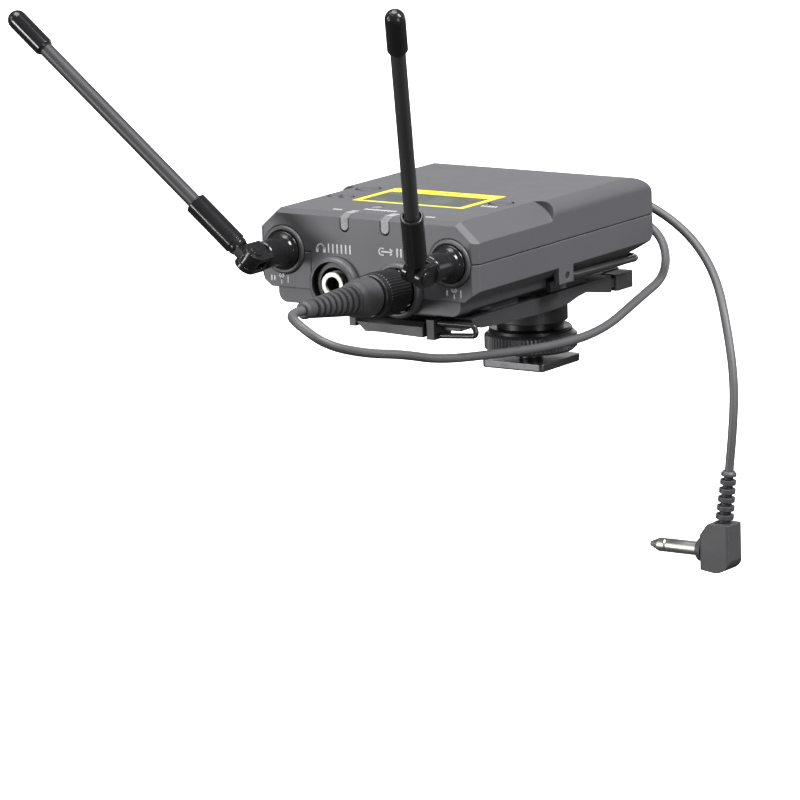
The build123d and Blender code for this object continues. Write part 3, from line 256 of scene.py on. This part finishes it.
FINISHES = {
    "case": finish("case_plastic", (0.097, 0.096, 0.104), 0.46, grain=2600.0, depth=0.000012, wear_and_glint=0.4,
                   edge=0.0004, spread=0.05, sheen_spread=0.015, well=CONTROL_WELL),
    "ring": finish("jack_ring_plastic", (0.088, 0.087, 0.092), 0.42, grain=2600.0, depth=0.00001, wear_and_glint=0.3,
                   bore_shade=JACK_MOUTH),
    "socket": finish("socket_plastic", (0.078, 0.077, 0.081), 0.42, grain=2600.0, depth=0.00001, wear_and_glint=0.3,
                     bore_shade=AERIAL_MOUTH),
    "trim": finish("trim_plastic", (0.045, 0.045, 0.048), 0.4, grain=2600.0, depth=0.00001, wear_and_glint=0.3),
    # the glossy black parts get a strong painted highlight along their edges in place of glints
    "black": finish("black_gloss", (0.013, 0.013, 0.014), 0.17, grain=1400.0, depth=0.000006, wear_and_glint=1.2),
    "rubber_rod": finish("rod_rubber", (0.044, 0.044, 0.047), 0.42, grain=1800.0, depth=0.000008, wear_and_glint=0.1),
    "soft_grey": finish("soft_grey_rubber", (0.068, 0.068, 0.072), 0.5, grain=2200.0, depth=0.000015,
                        wear_and_glint=0.0, groove_shade=GROOVE),
    "button": finish("button_rubber", (0.088, 0.087, 0.091), 0.5, grain=2000.0, depth=0.00001, wear_and_glint=0.2),
    "adaptor": finish("adaptor_coat", (0.040, 0.039, 0.042), 0.45, grain=1500.0, depth=0.00002, wear_and_glint=0.3),
    "latch": finish("latch_coat", (0.020, 0.020, 0.022), 0.4, grain=1500.0, depth=0.00002, wear_and_glint=0.6),
    "wheel": finish("wheel_anodised", (0.055, 0.055, 0.058), 0.34, grain=1800.0, depth=0.00001, wear_and_glint=0.5,
                    metallic=0.2, cap=WHEEL_HUB, groove_shade=GROOVE),
    "collar": finish("collar_anodised", (0.018, 0.018, 0.019), 0.34, grain=1800.0, depth=0.00001, wear_and_glint=0.6,
                     groove_shade=GROOVE),
    "nickel": finish("nickel_plate", (0.56, 0.56, 0.54), 0.4, grain=900.0, depth=0.000004, wear_and_glint=0.1,
                     metallic=1.0, spread=0.08),
    "barrel": finish("barrel_nickel", (0.36, 0.36, 0.345), 0.4, grain=900.0, depth=0.000004, wear_and_glint=0.1,
                     metallic=1.0, spread=0.08),
    "steel": finish("plain_steel", (0.36, 0.36, 0.37), 0.3, grain=700.0, depth=0.000006, wear_and_glint=0.2,
                    metallic=1.0),
    "foot": finish("foot_plate", (0.10, 0.10, 0.105), 0.3, grain=900.0, depth=0.000008, wear_and_glint=0.6,
                   metallic=0.8),
    "wire": finish("blackened_wire", (0.06, 0.06, 0.06), 0.2, grain=900.0, depth=0.00001, wear_and_glint=0.6,
                   metallic=0.4),
    "yellow": finish("yellow_print", (0.74, 0.67, 0.005), 0.3, grain=3000.0, depth=0.000004, wear_and_glint=0.03,
                     spread=0.04, specular=0.15),
    "board": finish("board_lacquer", (0.02, 0.12, 0.05), 0.3, grain=500.0, depth=0.00002),
    "chip": finish("chip_epoxy", (0.02, 0.02, 0.02), 0.5, grain=1500.0, depth=0.00001),
    "wrap": finish("cell_wrap", (0.35, 0.16, 0.04), 0.25, grain=600.0, depth=0.000006, coat=0.4),
    "smoked": finish("smoked_window", (0.030, 0.028, 0.030), 0.15, grain=900.0, depth=0.000002, wear_and_glint=0.1),
    "pipe": finish("light_pipe_resin", (0.21, 0.21, 0.215), 0.2, grain=900.0, depth=0.000004, wear_and_glint=0.5,
                   spread=0.25),
    "display": finish("display_cover", (0.052, 0.061, 0.052), 0.3, grain=2400.0, depth=0.000001, wear_and_glint=0.1,
                      spread=0.08, specular=0.06),
    "print": finish("white_print", (0.86, 0.86, 0.86), 0.5, grain=2600.0, depth=0.000004, wear_and_glint=0.0,
                    spread=0.05),
    "cord": finish("cord_jacket", (0.105, 0.105, 0.109), 0.44, grain=1600.0, depth=0.000012, wear_and_glint=0.0),
}

NODE_FINISHES = {
    "case": ("top_shell", "bottom_shell"),
    "ring": ("jack_rings",),
    "socket": ("aerial_sockets",),
    "trim": ("battery_door", "door_catch_left", "door_catch_right", "battery_tray", "phones_jack",
             "output_jack"),
    "black": ("aerial_a_base", "aerial_b_base", "aerial_a_sleeve", "aerial_b_sleeve", "aerial_a_cap",
              "aerial_b_cap", "aerial_a_pin", "aerial_b_pin"),
    "rubber_rod": ("aerial_a_rod", "aerial_b_rod"),
    "soft_grey": ("output_plug_body", "output_plug_relief", "mic_plug_body", "mic_plug_relief"),
    "button": ("button_plus", "button_minus", "button_set", "button_power", "button_mat"),
    "adaptor": ("adaptor_plate", "release_lever", "shoe_post"),
    "latch": ("front_latch",),
    "wheel": ("lock_wheel", "pressure_washer"),
    "collar": ("output_plug_collar",),
    "nickel": ("output_plug_pin", "mic_plug_pin", "battery_contacts"),
    "barrel": ("phones_jack_barrel", "output_jack_barrel"),
    "steel": ("shell_screws", "rf_shield", "door_hinge_pin", "latch_pin", "adaptor_screws"),
    "foot": ("shoe_foot",),
    "wire": ("wire_clip", "wire_loop"),
    "yellow": ("lcd_frame",),
    "board": ("main_board",),
    "chip": ("board_chips",),
    "wrap": ("battery_cells",),
    "smoked": ("infrared_window",),
    "pipe": ("light_pipes",),
    "display": ("lcd_window", "lcd_module"),
    "cord": ("output_cord",),
}


def dress(piece, material):
    """Give a piece one material."""
    piece.data.materials.clear()
    piece.data.materials.append(material)


for key, names in NODE_FINISHES.items():
    for node_name in names:
        dress(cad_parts[node_name], FINISHES[key])

# ---------------------------------------------------------------- the lead
CORD_RADIUS = 1.12 * MM
CORD_ROUTE_MM = [
    (9.2, -112.758, 33.451), (9.2, -118.252, 33.700), (15.2, -123.6, 32.6), (22.6, -122.8, 28.0),
    (26.5, -112.0, 24.5), (24.5, -94.0, 21.0), (22.0, -74.5, 16.0), (24.5, -54.0, 14.0),
    (29.0, -35.5, 13.0), (32.5, -18.0, 14.0), (33.0, -1.0, 19.5), (31.0, 15.5, 22.5),
    (23.5, 26.5, 30.0), (12.5, 29.0, 34.5), (6.0, 23.5, 38.5), (9.5, 15.5, 43.0),
    (19.0, 14.5, 42.5), (30.0, 15.0, 38.5), (41.0, 12.5, 32.5), (50.5, 7.0, 24.5),
    (57.0, 0.5, 14.0), (61.5, -4.0, 2.0), (62.13, -6.0, -9.5), (60.7, -6.0, -20.7),
]

curve = bpy.data.curves.new("lead", "CURVE")
curve.dimensions = "3D"
spline = curve.splines.new("NURBS")
spline.points.add(len(CORD_ROUTE_MM) - 1)
for point, place in zip(spline.points, CORD_ROUTE_MM):
    point.co = (*(Vector(place) * MM), 1)
spline.order_u = 3
spline.use_endpoint_u = True
spline.resolution_u = 12
curve.bevel_depth = CORD_RADIUS
curve.bevel_resolution = 8
curve.use_fill_caps = True
lead = bpy.data.objects.new("lead", curve)
bpy.context.scene.collection.objects.link(lead)
dress(lead, FINISHES["cord"])
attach(lead, "body")
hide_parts("output_cord")

# ---------------------------------------------------------------- printed marks
INK_HEIGHT_MM = 0.03
FRONT_FACE_MM = -72.0
TOP_FACE_MM = 49.0
DISPLAY_FRAME_MM = 48.92
OUTPUT_JACK_MM = (9.2, -72.0, 31.6)
PLUG_TILT = 2.6
COLLAR_RADIUS_MM = 5.1


def bar(x0, z0, x1, z1, width):
    """A straight stroke as four corners."""
    start, end = Vector((x0, z0)), Vector((x1, z1))
    along = (end - start).normalized() * width / 2
    side = Vector((-along.y, along.x))
    return [start - along + side, start - along - side, end + along - side, end + along + side]


def row(x, low, high, pitch, count, width):
    """Upright strokes side by side, the first at x."""
    return [bar(x + pitch * k, low, x + pitch * k, high, width) for k in range(count)]


def arc(x, z, radius, width, first, last, steps=14):
    """A curved stroke as a run of four-cornered pieces."""
    pieces = []
    for k in range(steps):
        corners = []
        for reach, share in ((1, k), (-1, k), (-1, k + 1), (1, k + 1)):
            angle = radians(first + (last - first) * share / steps)
            corners.append(Vector((x + (radius + reach * width / 2) * cos(angle),
                                   z + (radius + reach * width / 2) * sin(angle))))
        pieces.append(corners)
    return pieces


def printed(name, strokes, place, material="print", body="body"):
    """Thin raised ink on the case; place turns a stroke's (across, up) and height into a point in mm."""
    mesh = bpy.data.meshes.new(name)
    bm = bmesh.new()
    for corners in strokes:
        low = [bm.verts.new(place(c.x, c.y, -0.01) * MM) for c in corners]
        high = [bm.verts.new(place(c.x, c.y, INK_HEIGHT_MM) * MM) for c in corners]
        bm.faces.new(low)
        bm.faces.new(high)
        for k in range(len(corners)):
            nxt = (k + 1) % len(corners)
            bm.faces.new((low[k], low[nxt], high[nxt], high[k]))
    bmesh.ops.remove_doubles(bm, verts=bm.verts, dist=1e-7)
    bmesh.ops.recalc_face_normals(bm, faces=bm.faces)
    bm.to_mesh(mesh)
    bm.free()
    piece = bpy.data.objects.new(name, mesh)
    bpy.context.scene.collection.objects.link(piece)
    dress(piece, FINISHES[material])
    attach(piece, body)


def on_front(x, z, height):
    return Vector((x, FRONT_FACE_MM - height, z))


def on_top(x, y, height):
    return Vector((x, y, TOP_FACE_MM + height))


def on_display_frame(x, y, height):
    return Vector((x, y, DISPLAY_FRAME_MM + height))


def on_collar(along, around, height):
    """along is the distance out from the jack panel, around the way round the collar, both in mm."""
    turn = around / COLLAR_RADIUS_MM
    spoke = Vector((cos(turn), 0, sin(turn)))
    tilt = Matrix.Rotation(-radians(PLUG_TILT), 3, "X")
    return Vector(OUTPUT_JACK_MM) + tilt @ (Vector((0, -along, 0)) + (COLLAR_RADIUS_MM + height) * spoke)


# stroke widths and the middles of the signs, in mm
FINE_MM = 0.32
BOLD_MM = 0.42
PHONES_SIGN_MM = (-13.2, 40.1)
OUTPUT_SIGN_MM = (4.6, 40.55)
AERIAL_SIGN_MM = (25.0, 32.9)

# a headphone sign, then a row of plain strokes, above the open jack
x, z = PHONES_SIGN_MM
strokes = arc(x, z, 1.05, FINE_MM, 0, 180)
strokes += row(x - 1.05, z - 0.6, z - 0.1, 2.1, 2, 0.75)
strokes += row(x + 2.3, z - 0.7, z + 1.1, 1.25, 6, BOLD_MM)
printed("mark_phones", strokes, on_front)

# an arrow leaving a socket, then a row of plain strokes, above the output jack
x, z = OUTPUT_SIGN_MM
strokes = arc(x, z, 0.85, FINE_MM, 50, 310)
strokes += [bar(x, z, x + 3.0, z, 0.36)]
strokes += [bar(x + 2.4, z + side * 0.7, x + 3.2, z + side * 0.05, 0.36) for side in (1, -1)]
strokes += row(x + 4.4, z - 0.85, z + 0.85, 1.1, 3, BOLD_MM)
printed("mark_output", strokes, on_front)

# an aerial sign with one dot for a and two dots for b
for letter, side, dots in (("a", 1, 1), ("b", -1, 2)):
    x, z = side * AERIAL_SIGN_MM[0], AERIAL_SIGN_MM[1]
    strokes = [bar(x, z - 2.2, x, z, 0.34)]
    strokes += [bar(x + arm, z, x, z - 1.0, 0.34) for arm in (-1.0, 1.0)]
    strokes += [bar(x - 1.0, z, x + 1.0, z, 0.34)]
    strokes += row(x - 2.0, z - 1.4, z - 0.6, -0.9, dots, 0.5)
    strokes += [bar(x + 1.9, z - 1.9, x + 1.9, z - 0.3, FINE_MM)]
    printed(f"mark_aerial_{letter}", strokes, on_front)

# short rows of strokes on the display side
strokes = row(-12.2, -67.4, -66.6, 0.9, 3, 0.4)
strokes += row(-5.1, -64.5, -63.6, 0.95, 10, 0.45)
strokes += row(14.9, -67.9, -67.1, 0.9, 3, 0.4)
strokes += row(18.7, -49.4, -48.5, 0.95, 5, 0.45)
printed("marks_top", strokes, on_top)

# faint dark ticks on the wide rear band of the display frame
strokes = [bar(-5.0 + 1.7 * k, -36.6, -4.3 + 1.7 * k, -36.6, 0.35) for k in range(6)]
printed("marks_display", strokes, on_display_frame, "trim")

# two small white dots on the plug's collar, at these turns round it in degrees
COLLAR_DOT_TURNS = (74, -38)
strokes = []
for turn in COLLAR_DOT_TURNS:
    around = COLLAR_RADIUS_MM * radians(turn)
    strokes.append(bar(1.6, around, 2.1, around, 0.5))
printed("marks_collar", strokes, on_collar, body="collar")

# ---------------------------------------------------------------- floor and light
FLOOR_DROP = 0.13
FLOOR_REACH = 3.5
PAPER_CURVE = 4.5
PAPER_STEPS = 20
PAPER_SIDES = 72
PAPER_GREYS = ((0.90, 0.90, 0.90), (0.93, 0.93, 0.93))
WORLD_GLOW = 0.09


def curved_paper():
    """A round floor of paper that curves up into a wall all the way round."""
    sheet = bmesh.new()
    loops = []
    for step in range(PAPER_STEPS + 1):
        climb = radians(90 * step / PAPER_STEPS)
        reach_out = FLOOR_REACH + PAPER_CURVE * sin(climb)
        height = PAPER_CURVE * (1 - cos(climb)) - FLOOR_DROP
        turns = [radians(360 * i / PAPER_SIDES) for i in range(PAPER_SIDES)]
        loops.append([sheet.verts.new((reach_out * cos(a), reach_out * sin(a), height)) for a in turns])
    sheet.faces.new(loops[0])
    for inner, outer in zip(loops, loops[1:]):
        for i in range(PAPER_SIDES):
            after = (i + 1) % PAPER_SIDES
            sheet.faces.new((inner[i], outer[i], outer[after], inner[after]))
    mesh = bpy.data.meshes.new("floor")
    sheet.to_mesh(mesh)
    sheet.free()
    paper = bpy.data.objects.new("floor", mesh)
    bpy.context.scene.collection.objects.link(paper)
    return paper


floor = curved_paper()
paper_look = Nodes("floor_paper")
shade = paper_look.mix(paper_look.range(paper_look.noise(6.0), 0.0, 1.0), *PAPER_GREYS)
paper_look.link(shade, paper_look.shader.inputs["Base Color"])
paper_look.shader.inputs["Roughness"].default_value = 0.9
dress(floor, paper_look.material)
floor.visible_diffuse = False
floor.visible_glossy = False

world = bpy.data.worlds.new("studio")
world.use_nodes = True
background = world.node_tree.nodes["Background"]
background.inputs["Color"].default_value = (1, 1, 1, 1)
background.inputs["Strength"].default_value = WORLD_GLOW
bpy.context.scene.world = world

# the object's lights leave the floor alone, and the floor's light leaves the object alone,
# so the paper behind can be bright while the underside stays dark
reach_of = {}
for reach, link_state in (("object_only", "EXCLUDE"), ("floor_only", "INCLUDE")):
    group = bpy.data.collections.new(reach)
    group.objects.link(floor)
    group.collection_objects[0].light_linking.link_state = link_state
    reach_of[reach] = group


def soft_light(name, place, target, size, watts, reach="object_only"):
    """A rectangular soft light, size wide and high, aimed at a point."""
    data = bpy.data.lights.new(name, "AREA")
    data.shape = "RECTANGLE"
    data.size, data.size_y = size
    data.energy = watts
    light = bpy.data.objects.new(name, data)
    light.location = place
    light.rotation_euler = (Vector(target) - Vector(place)).to_track_quat("-Z", "Y").to_euler()
    light.light_linking.receiver_collection = reach_of[reach]
    light.visible_camera = False
    bpy.context.scene.collection.objects.link(light)


BODY_MIDDLE = (0, -0.03, 0.03)
soft_light("overhead", (-0.15, -0.25, 1.3), (0, -0.03, 0), size=(0.9, 0.9), watts=20)
soft_light("front_left", (-1.0, -1.0, 0.5), BODY_MIDDLE, size=(0.5, 0.5), watts=4.5)
soft_light("low_front", (-0.75, -1.2, -0.03), BODY_MIDDLE, size=(0.5, 0.2), watts=8)
soft_light("right_side", (0.95, -0.1, 1.0), BODY_MIDDLE, size=(0.5, 0.5), watts=24)
soft_light("low_right", (1.3, -0.6, -0.02), (0, 0, 0.01), size=(0.4, 0.2), watts=3)
soft_light("rear_panel", (0, 1.7, 0.28), (0, 0, 0.05), size=(3.2, 0.55), watts=7)
soft_light("floor_wash", (0, 0, 7), (0, 0.001, 0), size=(14, 14), watts=3200, reach="floor_only")
